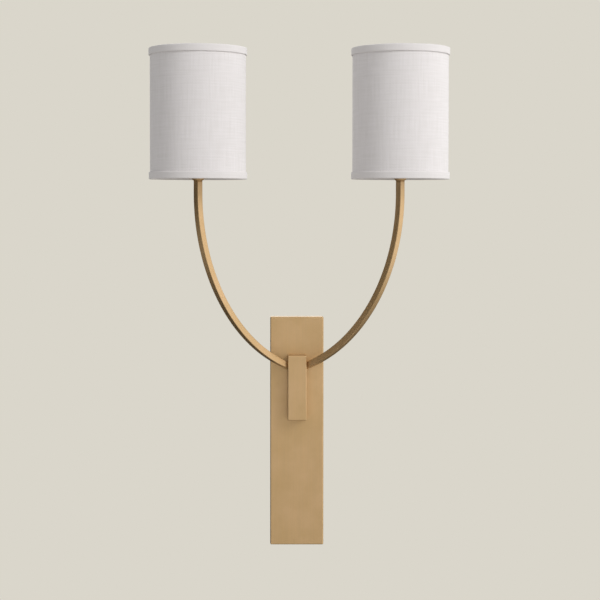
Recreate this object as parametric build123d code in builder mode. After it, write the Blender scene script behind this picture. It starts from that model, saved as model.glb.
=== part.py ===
from build123d import *
import os
from math import acos, cos, degrees, radians, sin, tan

# Double arm wall sconce: two linen drum shades on square brass arms that rise in a J from a
# small block on a long narrow backplate.
# Frame: millimetres, +Z up, the wall is the plane Y = 0 and the light stands out towards -Y.
# The origin is the centre of the backplate on the wall. "left" is the -X side.

# ---------------------------------------------------------------- driving dimensions
# Backplate, a pressed pan that is open towards the wall
PLATE_W = 59.0
PLATE_H = 253.5
PLATE_D = 14.0
PLATE_WALL = 1.5
PLATE_CORNER_R = 1.5
PLATE_FRONT_R = 1.2
EDGE_SCREW_D = 3.5
EDGE_SCREW_HEAD_D = 6.2
EDGE_SCREW_LEN = 7.0
EDGE_SCREW_OUT = 6.5         # height of the two edge screws above the wall

# Mounting strap inside the pan
STRAP_W = 26.0
STRAP_T = 1.6
STRAP_EAR_D = 10.5
STRAP_BEND_R = 2.2
STRAP_PAN_GAP = 0.15         # between each ear and the end wall of the pan
BOX_SLOT_SPACING = 86.1      # takes 83.3 mm and 88.9 mm junction box screws
BOX_SLOT_TRAVEL = 4.0
BOX_SLOT_W = 4.6
SUPPLY_HOLE_D = 18.0
GROUND_SCREW_Z = -24.0
GROUND_SCREW_D = 4.8

# Block that carries both arms
BLOCK_W = 20.8
BLOCK_H = 71.5
BLOCK_D = 16.0
BLOCK_Z = 49.5               # height of its middle above the middle of the backplate
BLOCK_EDGE_R = 1.1
BLOCK_SIDE_WALL = 3.7
BLOCK_FRONT_WALL = 3.2
CAVITY_H = 39.0
CAVITY_Z = 55.5
CAVITY_CORNER_R = 2.0
WIRE_HOLE_STEP = 1.0         # the wire hole in the backplate is this much smaller all round
MOUTH_RELIEF = 1.0           # the mouths run on past the ends of the arms
BLOCK_SCREW_D = 4.0
BLOCK_SCREW_EDGE = 5.0       # from the top and the bottom of the block to the screw axes
BLOCK_SCREW_GRIP = 8.0       # length of thread in the block

# Arms, square tube bent to one radius
ARM_SIZE = 6.8
ARM_WALL = 0.9
ARM_EDGE_R = 0.5
ARM_BEND_R = 200.0
ARM_SWEEP = 45.0             # degrees, how far each arm swings forward of the wall plane
ARM_ROOT_Z = 73.5            # height where the arm enters the side of the block
ARM_LEAD_IN = 5.0            # straight stretch outside the block, measured along X
ARM_TENON = 4.6              # how far the straight tail goes in, measured along X
ARM_STRAIGHT = 13.5          # upright stretch above the bend
SHADE_AXIS_X = 104.6

# Lampholder and what carries it
COLLAR_D = 13.0
COLLAR_BASE_D = 10.4
COLLAR_H = 2.0
COLLAR_EDGE_H = 0.6          # upright edge above the flare
NIPPLE_D = 9.5
NIPPLE_BORE = 5.4
NIPPLE_LEN = 17.0            # from the top of the arm
CUP_BASE_R = 9.8
CUP_RIM_R = 17.2
CUP_H = 26.0
CUP_RIM_H = 7.0
CUP_WALL = 1.2
LOCKNUT_AF = 14.0
LOCKNUT_H = 3.0
HOLDER_BASE_R = 8.6
HOLDER_BODY_R = 11.8
HOLDER_TAPER_H = 7.0
HOLDER_FLANGE_R = 17.2
HOLDER_FLANGE_T = 2.6
HOLDER_SKIRT_R = 14.0
HOLDER_SKIRT_H = 12.0
HOLDER_BORE_R = 6.7
HOLDER_BORE_DEPTH = 24.0
SHELL_T = 0.4
SHELL_H = 20.0
CONTACT_R = 2.6
CONTACT_T = 0.6
CONTACT_GAP = 0.3            # between the two centre contacts

# Bulb, candle shape with a small screw cap
CAP_R = 5.85
CAP_T = 0.4
CAP_H = 20.5
CAP_SHOULDER_H = 1.2         # the cap narrows to its contact below this height
CAP_ROUND_H = 0.6
TIP_H = 2.2                  # solder contact below the cap
TIP_R = 1.8
BULB_R = 17.0
BULB_LEN = 80.0              # glass above the cap
BULB_BELLY = 23.0            # height of the widest place above the cap
BULB_WALL = 0.8
BULB_NOSE_R = 2.0            # where the curved body ends in a short cone
BULB_NOSE_H = 1.6
BULB_NECK_R = 5.3
BULB_NECK_LEN = 3.0          # glass neck inside the cap
STEM_R = 1.6
STEM_H = 17.0
STEM_FOOT_H = 1.5            # glass foot that closes the neck
FILAMENT_R = 0.7
FILAMENT_H = 30.0
FILAMENT_SPREAD = 5.0

# Shade
SHADE_D = 101.6              # over the trim
SHADE_H = 135.0
SHADE_COVER_T = 0.8          # linen on its stiff backing
TRIM_PROUD = 1.3             # how far the folded trim stands out from the cover
TRIM_H = 7.4
TRIM_FOLD_T = 1.0
TRIM_LAP = 3.4               # width of the fold under the wire ring
TRIM_ROUND = 0.6             # broken outer edge of the fold
WIRE_D = 2.4
WIRE_SIDES = 8               # hoops and spokes are drawn eight-sided
SPIDER_RISE = 29.6           # from the bottom of the shade to the seat on the lampholder
SPIDER_WASHER_R = 20.0
SPIDER_WASHER_T = 1.2
SPOKE_COUNT = 3
RING_R = 18.6
RING_H = 7.0
RING_GRIPS = 12
RING_GRIP_W = 2.6
RING_GRIP_DEPTH = 1.3

# Lead inside each arm
LEAD_D = 3.2
LEAD_TURN_R = 5.0            # where the lead turns back out of the arm
LEAD_DROP_R = 6.0            # where it turns down inside the pan
LEAD_OUT = 6.2               # height of its downward run above the wall
LEAD_EXIT = 2.2              # from the mouth of the arm to the first corner, along X

# Small screws
GROUND_HEAD_H = 3.0
BLOCK_SCREW_HEAD_AF = 7.0
BLOCK_SCREW_HEAD_H = 2.8
GROUND_HEAD_AF = 8.0
DRIVE_SLOT_W = 0.9

# Terminal block on the strap
TERMINAL_W = 22.0
TERMINAL_H = 17.0
TERMINAL_D = 7.4
TERMINAL_Z = 25.0
TERMINAL_POCKET = 4.0
SUPPLY_ENTRY_D = 3.0
TERMINAL_SCREW_D = 3.0
TERMINAL_SCREW_DEPTH = 2.4
TERMINAL_SCREW_SINK = 0.6    # from the face of the terminal block to its screws
TERMINAL_SCREW_INSET = 3.6   # from the sides of the terminal block to its screws

# Clearances
FIT = 0.1                    # parts that are screwed, brazed or pressed together
TURN_FIT = 0.1               # flat faces that turn on each other
SHELL_FIT = 0.15             # bulb cap in the screw shell
SCREW_FIT = 0.2              # screw shanks in plain holes

# ---------------------------------------------------------------- places worked out from them
SIDES = {"left": -1, "right": 1}
ENDS = (1, -1)
UP = (0, 0, 1)
BLOCK_SCREW_ZS = [
    BLOCK_Z + BLOCK_H / 2 - BLOCK_SCREW_EDGE,
    BLOCK_Z - BLOCK_H / 2 + BLOCK_SCREW_EDGE,
]

# Each arm lies in an upright plane. s runs along that plane from the shade axis, negative inwards.
sweep_cos = cos(radians(ARM_SWEEP))
sweep_sin = sin(radians(ARM_SWEEP))
root_out = PLATE_D + BLOCK_D / 2
shade_axis_out = root_out + (SHADE_AXIS_X - BLOCK_W / 2) * tan(radians(ARM_SWEEP))
bend_end_s = -(SHADE_AXIS_X - BLOCK_W / 2 - ARM_LEAD_IN) / sweep_cos
bend_angle = acos(1 + bend_end_s / ARM_BEND_R)
root_s = -(SHADE_AXIS_X - BLOCK_W / 2) / sweep_cos
bend_end_z = ARM_ROOT_Z + (bend_end_s - root_s) / tan(bend_angle)
spring_z = bend_end_z + ARM_BEND_R * sin(bend_angle)
tail_s = root_s - ARM_TENON / sweep_cos
tail_z = ARM_ROOT_Z + (tail_s - root_s) / tan(bend_angle)

# Heights on the shade axis, from the top of the arm upwards
arm_top_z = spring_z + ARM_STRAIGHT
collar_top_z = arm_top_z + COLLAR_H
cup_rim_z = collar_top_z + CUP_H
nut_z = collar_top_z + CUP_WALL
holder_base_z = nut_z + LOCKNUT_H + FIT
flange_z = cup_rim_z + FIT
spider_z = flange_z + HOLDER_FLANGE_T + TURN_FIT
ring_z = spider_z + SPIDER_WASHER_T + TURN_FIT
holder_top_z = flange_z + HOLDER_FLANGE_T + HOLDER_SKIRT_H
bore_floor_z = holder_top_z - HOLDER_BORE_DEPTH
contact_z = bore_floor_z + CONTACT_T
bulb_tip_z = contact_z + CONTACT_GAP
cap_base_z = bulb_tip_z + TIP_H
cap_top_z = cap_base_z + CAP_H
shade_bottom_z = spider_z - SPIDER_RISE
shade_top_z = shade_bottom_z + SHADE_H
shell_r = CAP_R + SHELL_FIT
cover_r = SHADE_D / 2 - TRIM_PROUD
wire_ring_r = cover_r - SHADE_COVER_T - FIT - WIRE_D / 2
bottom_wire_z = shade_bottom_z + TRIM_FOLD_T + FIT + WIRE_D / 2
top_wire_z = shade_top_z - TRIM_FOLD_T - FIT - WIRE_D / 2
hub_top_z = arm_top_z + NIPPLE_LEN + FIT
stem_z = cap_top_z - BULB_NECK_LEN
filament_z = stem_z + STEM_H

# Lead and terminal block inside the pan
tail_length = ARM_TENON / sweep_cos / sin(bend_angle) + ARM_LEAD_IN / sweep_cos / sin(bend_angle)
lead_exit_length = LEAD_EXIT / sweep_cos / sin(bend_angle)
lead_drop_x = BLOCK_W / 2 - ARM_TENON - LEAD_EXIT
lead_top_z = bore_floor_z - TURN_FIT
lead_end_z = TERMINAL_Z + TERMINAL_H / 2 - TERMINAL_POCKET + FIT
wire_hole_w = BLOCK_W - 2 * BLOCK_SIDE_WALL - 2 * WIRE_HOLE_STEP
terminal_screw_xs = [x * (TERMINAL_W / 2 - TERMINAL_SCREW_INSET) for x in (1, -1)]
terminal_screw_zs = [TERMINAL_Z + z * (TERMINAL_H / 2 - TERMINAL_SCREW_INSET) for z in (1, -1)]


def arm_plane(sign):
    """The upright plane of one arm: its x runs outwards along the arm, its y is up."""
    return Plane(
        origin=(sign * SHADE_AXIS_X, -shade_axis_out, 0),
        x_dir=(sign * sweep_cos, -sweep_sin, 0),
        z_dir=(-sweep_sin, -sign * sweep_cos, 0),
    )


def tail_plane(sign):
    """Square to the straight tail of an arm at its inner end, facing back along the arm."""
    plane = arm_plane(sign)
    outwards = plane.x_dir * sin(bend_angle) + plane.y_dir * cos(bend_angle)
    return Plane(origin=plane.from_local_coords((tail_s, tail_z, 0)), x_dir=plane.z_dir, z_dir=outwards)


def lamp_plane(sign):
    """Upright plane through the shade axis: x is the radius, y is the height."""
    return Plane((sign * SHADE_AXIS_X, -shade_axis_out, 0), x_dir=(1, 0, 0), z_dir=(0, -1, 0))


def lamp_level(sign, height):
    """Level plane centred on the shade axis."""
    return Plane((sign * SHADE_AXIS_X, -shade_axis_out, height))


def lamp_axis(sign):
    return Axis((sign * SHADE_AXIS_X, -shade_axis_out, 0), UP)


def edge_screw_plane(end):
    """On the outside of one end wall of the pan, facing out of it."""
    return Plane((0, -EDGE_SCREW_OUT, end * PLATE_H / 2), z_dir=(0, 0, end))


def spoke_point(sign, angle, radius, height):
    """A point at a radius and height round the shade axis."""
    x = sign * SHADE_AXIS_X + radius * cos(angle)
    return Vector(x, -shade_axis_out + radius * sin(angle), height)


def wire_section():
    """Section of the shade wire, with flats towards the cover and the trim on the hoops."""
    return RegularPolygon(WIRE_D / 2, WIRE_SIDES, major_radius=False, rotation=180 / WIRE_SIDES)


def save(builder, label):
    builder.part.label = label
    export_step(builder.part, f"parts/{label}.step")


# ---------------------------------------------------------------- backplate
with BuildPart() as backplate:
    with BuildSketch(Plane.XZ):
        RectangleRounded(PLATE_W, PLATE_H, PLATE_CORNER_R)
    extrude(amount=PLATE_D)
    fillet(backplate.faces().sort_by(Axis.Y)[0].edges(), radius=PLATE_FRONT_R)
    with BuildSketch(Plane.XZ):
        Rectangle(PLATE_W - 2 * PLATE_WALL, PLATE_H - 2 * PLATE_WALL)
    extrude(amount=PLATE_D - PLATE_WALL, mode=Mode.SUBTRACT)
    # wire hole and screw holes into the block
    with BuildSketch(Plane.XZ):
        with Locations((0, CAVITY_Z)):
            RectangleRounded(wire_hole_w, CAVITY_H - 2 * WIRE_HOLE_STEP, CAVITY_CORNER_R)
        with Locations([(0, z) for z in BLOCK_SCREW_ZS]):
            Circle(BLOCK_SCREW_D / 2 + SCREW_FIT)
    extrude(amount=PLATE_D, mode=Mode.SUBTRACT)
    # countersunk holes for the edge screws, one in each end wall
    for end in ENDS:
        with Locations(edge_screw_plane(end)):
            CounterSinkHole(EDGE_SCREW_D / 2 + SCREW_FIT, EDGE_SCREW_HEAD_D / 2 + SCREW_FIT, PLATE_WALL)
save(backplate, "backplate")

# ---------------------------------------------------------------- mounting strap
strap_h = PLATE_H - 2 * PLATE_WALL - 2 * STRAP_PAN_GAP
with BuildPart() as mounting_strap:
    with BuildSketch(Plane.XZ):
        Rectangle(STRAP_W, strap_h)
    extrude(amount=STRAP_EAR_D)
    with BuildSketch(Plane.XZ.offset(STRAP_T)):
        Rectangle(STRAP_W, strap_h - 2 * STRAP_T)
    extrude(amount=STRAP_EAR_D, mode=Mode.SUBTRACT)
    fillet(mounting_strap.edges().filter_by(Axis.X).group_by(Axis.Y)[-1], radius=STRAP_BEND_R)
    with BuildSketch(Plane.XZ):
        with Locations((0, BOX_SLOT_SPACING / 2), (0, -BOX_SLOT_SPACING / 2)):
            SlotCenterToCenter(BOX_SLOT_TRAVEL, BOX_SLOT_W, rotation=90)
        Circle(SUPPLY_HOLE_D / 2)
        with Locations((0, GROUND_SCREW_Z)):
            Circle(GROUND_SCREW_D / 2 + FIT)
        with Locations((0, TERMINAL_Z)):
            Circle(TERMINAL_SCREW_D / 2 + FIT)
    extrude(amount=STRAP_T, mode=Mode.SUBTRACT)
    # tapped holes in the ears
    for end in ENDS:
        with Locations(edge_screw_plane(end)):
            Hole(EDGE_SCREW_D / 2 + FIT, PLATE_WALL + STRAP_PAN_GAP + STRAP_T)
save(mounting_strap, "mounting_strap")

with BuildPart() as edge_screws:
    for end in ENDS:
        with BuildSketch(edge_screw_plane(end)):
            Circle(EDGE_SCREW_D / 2)
        extrude(amount=-EDGE_SCREW_LEN)
        with BuildSketch(edge_screw_plane(end)):
            Circle(EDGE_SCREW_HEAD_D / 2)
        extrude(amount=-(EDGE_SCREW_HEAD_D - EDGE_SCREW_D) / 2, taper=45)
save(edge_screws, "edge_screws")

with BuildPart() as ground_screw:
    with BuildSketch(Plane.XZ):
        with Locations((0, GROUND_SCREW_Z)):
            Circle(GROUND_SCREW_D / 2)
    extrude(amount=STRAP_T)
    with BuildSketch(Plane.XZ.offset(STRAP_T)):
        with Locations((0, GROUND_SCREW_Z)):
            RegularPolygon(GROUND_HEAD_AF / 2, 6, major_radius=False)
    extrude(amount=GROUND_HEAD_H)
    with BuildSketch(Plane.XZ.offset(STRAP_T + GROUND_HEAD_H)):
        with Locations((0, GROUND_SCREW_Z)):
            Rectangle(2 * GROUND_HEAD_AF, DRIVE_SLOT_W)
    extrude(amount=-GROUND_HEAD_H / 2, mode=Mode.SUBTRACT)
save(ground_screw, "ground_screw")

# ---------------------------------------------------------------- terminal block
lead_xs = [sign * lead_drop_x for sign in SIDES.values()]
terminal_top_z = TERMINAL_Z + TERMINAL_H / 2
with BuildPart() as terminal_block:
    with BuildSketch(Plane.XZ.offset(STRAP_T)):
        with Locations((0, TERMINAL_Z)):
            Rectangle(TERMINAL_W, TERMINAL_H)
    extrude(amount=TERMINAL_D)
    with BuildSketch(Plane.XY.offset(terminal_top_z)):
        with Locations([(x, -LEAD_OUT) for x in lead_xs]):
            Circle(LEAD_D / 2 + SCREW_FIT)
    extrude(amount=-TERMINAL_POCKET, mode=Mode.SUBTRACT)
    with BuildSketch(Plane.XY.offset(TERMINAL_Z - TERMINAL_H / 2)):
        with Locations([(x, -LEAD_OUT) for x in lead_xs]):
            Circle(SUPPLY_ENTRY_D / 2)
    extrude(amount=TERMINAL_POCKET, mode=Mode.SUBTRACT)
    with BuildSketch(Plane.XZ.offset(STRAP_T + TERMINAL_D)):
        with Locations([(x, z) for x in terminal_screw_xs for z in terminal_screw_zs]):
            Circle(TERMINAL_SCREW_D / 2 + FIT)
    extrude(amount=-TERMINAL_SCREW_DEPTH, mode=Mode.SUBTRACT)
    with BuildSketch(Plane.XZ):
        with Locations((0, TERMINAL_Z)):
            Circle(TERMINAL_SCREW_D / 2 + FIT)
    extrude(amount=STRAP_T + TERMINAL_D, mode=Mode.SUBTRACT)
save(terminal_block, "terminal_block")

with BuildPart() as terminal_screws:
    with BuildSketch(Plane.XZ.offset(STRAP_T + TERMINAL_D - TERMINAL_SCREW_DEPTH)):
        with Locations([(x, z) for x in terminal_screw_xs for z in terminal_screw_zs]):
            RegularPolygon(TERMINAL_SCREW_D / 2, 6)
    extrude(amount=TERMINAL_SCREW_DEPTH - TERMINAL_SCREW_SINK)
save(terminal_screws, "terminal_screws")

with BuildPart() as terminal_fixing_screw:
    with BuildSketch(Plane.XZ):
        with Locations((0, TERMINAL_Z)):
            Circle(TERMINAL_SCREW_D / 2)
    extrude(amount=STRAP_T + TERMINAL_D)
save(terminal_fixing_screw, "terminal_fixing_screw")

# ---------------------------------------------------------------- block
with BuildPart() as arm_block:
    with BuildSketch(Plane.XZ.offset(PLATE_D)):
        with Locations((0, BLOCK_Z)):
            Rectangle(BLOCK_W, BLOCK_H)
    extrude(amount=BLOCK_D)
    fillet(arm_block.edges().filter_by(Axis.Y), radius=BLOCK_EDGE_R)
    fillet(arm_block.faces().sort_by(Axis.Y)[0].edges(), radius=BLOCK_EDGE_R)
    # wire chamber, open towards the backplate
    with BuildSketch(Plane.XZ.offset(PLATE_D)):
        with Locations((0, CAVITY_Z)):
            RectangleRounded(BLOCK_W - 2 * BLOCK_SIDE_WALL, CAVITY_H, CAVITY_CORNER_R)
    extrude(amount=BLOCK_D - BLOCK_FRONT_WALL, mode=Mode.SUBTRACT)
    with BuildSketch(Plane.XZ.offset(PLATE_D)):
        with Locations([(0, z) for z in BLOCK_SCREW_ZS]):
            Circle(BLOCK_SCREW_D / 2 + FIT)
    extrude(amount=BLOCK_SCREW_GRIP + BLOCK_SCREW_D / 2, mode=Mode.SUBTRACT)
    # square mouths for the arms, square to their tails
    for sign in SIDES.values():
        with BuildSketch(tail_plane(sign).offset(-MOUTH_RELIEF)):
            Rectangle(ARM_SIZE + 2 * FIT, ARM_SIZE + 2 * FIT)
        extrude(amount=MOUTH_RELIEF + tail_length + ARM_SIZE, mode=Mode.SUBTRACT)
save(arm_block, "arm_block")

with BuildPart() as block_screws:
    with BuildSketch(Plane.XZ.offset(PLATE_D - PLATE_WALL)):
        with Locations([(0, z) for z in BLOCK_SCREW_ZS]):
            Circle(BLOCK_SCREW_D / 2)
    extrude(amount=PLATE_WALL + BLOCK_SCREW_GRIP)
    with BuildSketch(Plane.XZ.offset(PLATE_D - PLATE_WALL)):
        with Locations([(0, z) for z in BLOCK_SCREW_ZS]):
            RegularPolygon(BLOCK_SCREW_HEAD_AF / 2, 6, major_radius=False)
    extrude(amount=-BLOCK_SCREW_HEAD_H)
save(block_screws, "block_screws")


# ---------------------------------------------------------------- one side at a time
def bulb_profile(inset):
    """Half outline of the candle glass, drawn inside a BuildLine: neck, belly, shoulder and tip."""
    neck = (BULB_NECK_R - inset, cap_top_z)
    belly = (BULB_R - inset, cap_top_z + BULB_BELLY)
    shoulder = (BULB_NOSE_R, cap_top_z + BULB_LEN - BULB_NOSE_H - inset)
    foot = Line((BULB_NECK_R - inset, cap_top_z - BULB_NECK_LEN), neck)
    TangentArc(belly, neck, tangent=(0, -1))
    ogive = TangentArc(belly, shoulder, tangent=(0, 1))
    Polyline(ogive @ 1, (0, cap_top_z + BULB_LEN - inset), (0, (foot @ 0).Y), foot @ 0)


for side, sign in SIDES.items():
    axis = lamp_axis(sign)

    # arm: the tube runs down from the lampholder, round the bend and into the block
    with BuildPart() as arm:
        with BuildLine(arm_plane(sign)) as arm_path:
            Line((0, arm_top_z), (0, spring_z))
            CenterArc((-ARM_BEND_R, spring_z), ARM_BEND_R, 0, -degrees(bend_angle))
            Line((bend_end_s, bend_end_z), (tail_s, tail_z))
        with BuildSketch(tail_plane(sign)):
            RectangleRounded(ARM_SIZE, ARM_SIZE, ARM_EDGE_R)
            Rectangle(ARM_SIZE - 2 * ARM_WALL, ARM_SIZE - 2 * ARM_WALL, mode=Mode.SUBTRACT)
        sweep(path=arm_path.line)
    save(arm, f"arm_{side}")

    # hollow threaded stud, brazed to the top of the arm, with the collar that shows under the shade
    with BuildPart() as nipple:
        with BuildSketch(lamp_plane(sign)):
            with BuildLine():
                Polyline(
                    (NIPPLE_BORE / 2, arm_top_z),
                    (COLLAR_BASE_D / 2, arm_top_z),
                    (COLLAR_D / 2, collar_top_z - COLLAR_EDGE_H),
                    (COLLAR_D / 2, collar_top_z),
                    (NIPPLE_D / 2, collar_top_z),
                    (NIPPLE_D / 2, arm_top_z + NIPPLE_LEN),
                    (NIPPLE_BORE / 2, arm_top_z + NIPPLE_LEN),
                    close=True,
                )
            make_face()
        revolve(axis=axis)
    save(nipple, f"nipple_{side}")

    # flared cup round the lampholder
    with BuildPart() as cup:
        with BuildSketch(lamp_plane(sign)):
            with BuildLine():
                Polyline(
                    (NIPPLE_D / 2 + FIT, collar_top_z),
                    (CUP_BASE_R, collar_top_z),
                    (CUP_RIM_R, cup_rim_z - CUP_RIM_H),
                    (CUP_RIM_R, cup_rim_z),
                    (CUP_RIM_R - CUP_WALL, cup_rim_z),
                    (CUP_RIM_R - CUP_WALL, cup_rim_z - CUP_RIM_H),
                    (CUP_BASE_R - CUP_WALL, nut_z),
                    (NIPPLE_D / 2 + FIT, nut_z),
                    close=True,
                )
            make_face()
        revolve(axis=axis)
    save(cup, f"socket_cup_{side}")

    with BuildPart() as locknut:
        with BuildSketch(lamp_level(sign, nut_z)):
            RegularPolygon(LOCKNUT_AF / 2, 6, major_radius=False)
            Circle(NIPPLE_D / 2 + FIT, mode=Mode.SUBTRACT)
        extrude(amount=LOCKNUT_H)
    save(locknut, f"locknut_{side}")

    # lampholder: hub on the nipple, flange on the cup, skirt for the shade ring, bore for the bulb
    with BuildPart() as lampholder:
        with BuildSketch(lamp_plane(sign)):
            with BuildLine():
                Polyline(
                    (NIPPLE_D / 2 + FIT, holder_base_z),
                    (HOLDER_BASE_R, holder_base_z),
                    (HOLDER_BODY_R, holder_base_z + HOLDER_TAPER_H),
                    (HOLDER_BODY_R, flange_z),
                    (HOLDER_FLANGE_R, flange_z),
                    (HOLDER_FLANGE_R, flange_z + HOLDER_FLANGE_T),
                    (HOLDER_SKIRT_R, flange_z + HOLDER_FLANGE_T),
                    (HOLDER_SKIRT_R, holder_top_z),
                    (HOLDER_BORE_R, holder_top_z),
                    (HOLDER_BORE_R, bore_floor_z),
                    (LEAD_D / 2 + SCREW_FIT, bore_floor_z),
                    (LEAD_D / 2 + SCREW_FIT, hub_top_z),
                    (NIPPLE_D / 2 + FIT, hub_top_z),
                    close=True,
                )
            make_face()
        revolve(axis=axis)
    save(lampholder, f"lampholder_{side}")

    with BuildPart() as screw_shell:
        with BuildSketch(lamp_level(sign, bore_floor_z + CONTACT_T)):
            Circle(shell_r + SHELL_T)
            Circle(shell_r, mode=Mode.SUBTRACT)
        extrude(amount=SHELL_H)
    save(screw_shell, f"screw_shell_{side}")

    with BuildPart() as centre_contact:
        with BuildSketch(lamp_level(sign, bore_floor_z)):
            Circle(CONTACT_R)
        extrude(amount=CONTACT_T)
    save(centre_contact, f"centre_contact_{side}")

    # bulb: glass, cap, contact and the stem that carries the filament
    with BuildPart() as bulb_glass:
        with BuildSketch(lamp_plane(sign)):
            with BuildLine():
                bulb_profile(0)
            make_face()
        revolve(axis=axis)
        with BuildSketch(lamp_plane(sign)):
            with BuildLine():
                bulb_profile(BULB_WALL)
            make_face()
        revolve(axis=axis, mode=Mode.SUBTRACT)
    save(bulb_glass, f"bulb_glass_{side}")

    with BuildPart() as bulb_cap:
        with BuildSketch(lamp_plane(sign)):
            with BuildLine():
                Polyline(
                    (CONTACT_R + CAP_T, cap_base_z),
                    (CAP_R - CAP_T, cap_base_z + CAP_SHOULDER_H),
                    (CAP_R, cap_base_z + CAP_SHOULDER_H + CAP_ROUND_H),
                    (CAP_R, cap_top_z),
                    (BULB_NECK_R + SCREW_FIT / 2, cap_top_z),
                    (BULB_NECK_R + SCREW_FIT / 2, cap_base_z + CAP_SHOULDER_H + 2 * CAP_ROUND_H),
                    (CONTACT_R + CAP_T, cap_base_z + CAP_T),
                    close=True,
                )
            make_face()
        revolve(axis=axis)
    save(bulb_cap, f"bulb_cap_{side}")

    with BuildPart() as bulb_contact:
        with BuildSketch(lamp_plane(sign)):
            with BuildLine():
                Polyline(
                    (0, bulb_tip_z),
                    (TIP_R, bulb_tip_z),
                    (CONTACT_R + CAP_T, cap_base_z),
                    (CONTACT_R + CAP_T, cap_base_z + CAP_T),
                    (0, cap_base_z + CAP_T),
                    close=True,
                )
            make_face()
        revolve(axis=axis)
    save(bulb_contact, f"bulb_contact_{side}")

    with BuildPart() as bulb_filament:
        with BuildSketch(lamp_level(sign, stem_z)):
            Circle(BULB_NECK_R - BULB_WALL - FIT)
        extrude(amount=STEM_FOOT_H)
        with BuildSketch(lamp_level(sign, stem_z)):
            Circle(STEM_R)
        extrude(amount=STEM_H)
        # support wire with a cross bar at each end of the sticks
        with BuildSketch(lamp_level(sign, stem_z)):
            RegularPolygon(FILAMENT_R / 2, 6)
        extrude(amount=filament_z + FILAMENT_H - stem_z)
        for height in (filament_z, filament_z + FILAMENT_H):
            with BuildSketch(lamp_level(sign, height)):
                Rectangle(2 * FILAMENT_SPREAD, FILAMENT_R)
                Rectangle(FILAMENT_R, 2 * FILAMENT_SPREAD)
            extrude(amount=FILAMENT_R)
        with BuildSketch(lamp_level(sign, filament_z)):
            with PolarLocations(FILAMENT_SPREAD, 4):
                RegularPolygon(FILAMENT_R, 6)
        extrude(amount=FILAMENT_H)
    save(bulb_filament, f"bulb_filament_{side}")

    # shade carrier: washer on the lampholder, spokes and the wire ring in the bottom hem
    with BuildPart() as shade_carrier:
        with BuildSketch(lamp_level(sign, spider_z)):
            Circle(SPIDER_WASHER_R)
            Circle(HOLDER_SKIRT_R + SCREW_FIT, mode=Mode.SUBTRACT)
        extrude(amount=SPIDER_WASHER_T)
        for turn in range(SPOKE_COUNT):
            angle = radians(90 + turn * 360 / SPOKE_COUNT)
            hub = spoke_point(sign, angle, SPIDER_WASHER_R - WIRE_D / 2, spider_z + SPIDER_WASHER_T / 2)
            foot = spoke_point(sign, angle, wire_ring_r, bottom_wire_z)
            with BuildSketch(Plane(origin=hub, z_dir=foot - hub)):
                wire_section()
            extrude(amount=(foot - hub).length)
        with BuildSketch(lamp_plane(sign)):
            with Locations((wire_ring_r, bottom_wire_z)):
                wire_section()
        revolve(axis=axis)
        # the spokes are ground flush where they pass over the washer
        with BuildSketch(lamp_level(sign, spider_z + SPIDER_WASHER_T)):
            Circle(SPIDER_WASHER_R + WIRE_D)
        extrude(amount=WIRE_D, mode=Mode.SUBTRACT)
    save(shade_carrier, f"shade_carrier_{side}")

    with BuildPart() as retaining_ring:
        with BuildSketch(lamp_level(sign, ring_z)):
            Circle(RING_R)
            Circle(HOLDER_SKIRT_R + FIT, mode=Mode.SUBTRACT)
            with PolarLocations(RING_R, RING_GRIPS):
                Rectangle(2 * RING_GRIP_DEPTH, RING_GRIP_W, mode=Mode.SUBTRACT)
        extrude(amount=RING_H)
    save(retaining_ring, f"retaining_ring_{side}")

    with BuildPart() as top_wire_ring:
        with BuildSketch(lamp_plane(sign)):
            with Locations((wire_ring_r, top_wire_z)):
                wire_section()
        revolve(axis=axis)
    save(top_wire_ring, f"top_wire_ring_{side}")

    # drum of linen on a stiff backing
    with BuildPart() as shade_cover:
        with BuildSketch(lamp_level(sign, shade_bottom_z + TRIM_FOLD_T)):
            Circle(cover_r)
            Circle(cover_r - SHADE_COVER_T, mode=Mode.SUBTRACT)
        extrude(amount=SHADE_H - 2 * TRIM_FOLD_T)
    save(shade_cover, f"shade_cover_{side}")

    # folded trims: each covers the edge of the drum and laps in past the wire ring
    for end, edge_z, up in (("top", shade_top_z, -1), ("bottom", shade_bottom_z, 1)):
        with BuildPart() as trim:
            with BuildSketch(lamp_plane(sign)):
                with BuildLine():
                    Polyline(
                        (SHADE_D / 2 - TRIM_ROUND, edge_z),
                        (wire_ring_r - TRIM_LAP + WIRE_D / 2, edge_z),
                        (wire_ring_r - TRIM_LAP + WIRE_D / 2, edge_z + up * TRIM_FOLD_T),
                        (cover_r, edge_z + up * TRIM_FOLD_T),
                        (cover_r, edge_z + up * TRIM_H),
                        (SHADE_D / 2, edge_z + up * TRIM_H),
                        (SHADE_D / 2, edge_z + up * TRIM_ROUND),
                        close=True,
                    )
                make_face()
            revolve(axis=axis)
        save(trim, f"shade_trim_{end}_{side}")

    # lead: down the bore of the arm, out of its tail, back through the plate, down to the terminals
    with BuildPart() as lead:
        with BuildLine(arm_plane(sign)) as upper_route:
            Line((0, lead_top_z), (0, spring_z))
            CenterArc((-ARM_BEND_R, spring_z), ARM_BEND_R, 0, -degrees(bend_angle))
        tail_start = arm_plane(sign).from_local_coords((bend_end_s, bend_end_z, 0))
        lead_corner = tail_plane(sign).origin - tail_plane(sign).z_dir * lead_exit_length
        with BuildLine() as lower_route:
            FilletPolyline(
                tail_start,
                lead_corner,
                (lead_corner.X, -LEAD_OUT, lead_corner.Z),
                (lead_corner.X, -LEAD_OUT, lead_end_z),
                radius=(LEAD_TURN_R, LEAD_DROP_R),
            )
        with BuildSketch(lamp_level(sign, lead_top_z)):
            Circle(LEAD_D / 2)
        sweep(path=upper_route.line + lower_route.line)
    save(lead, f"lamp_lead_{side}")
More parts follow.
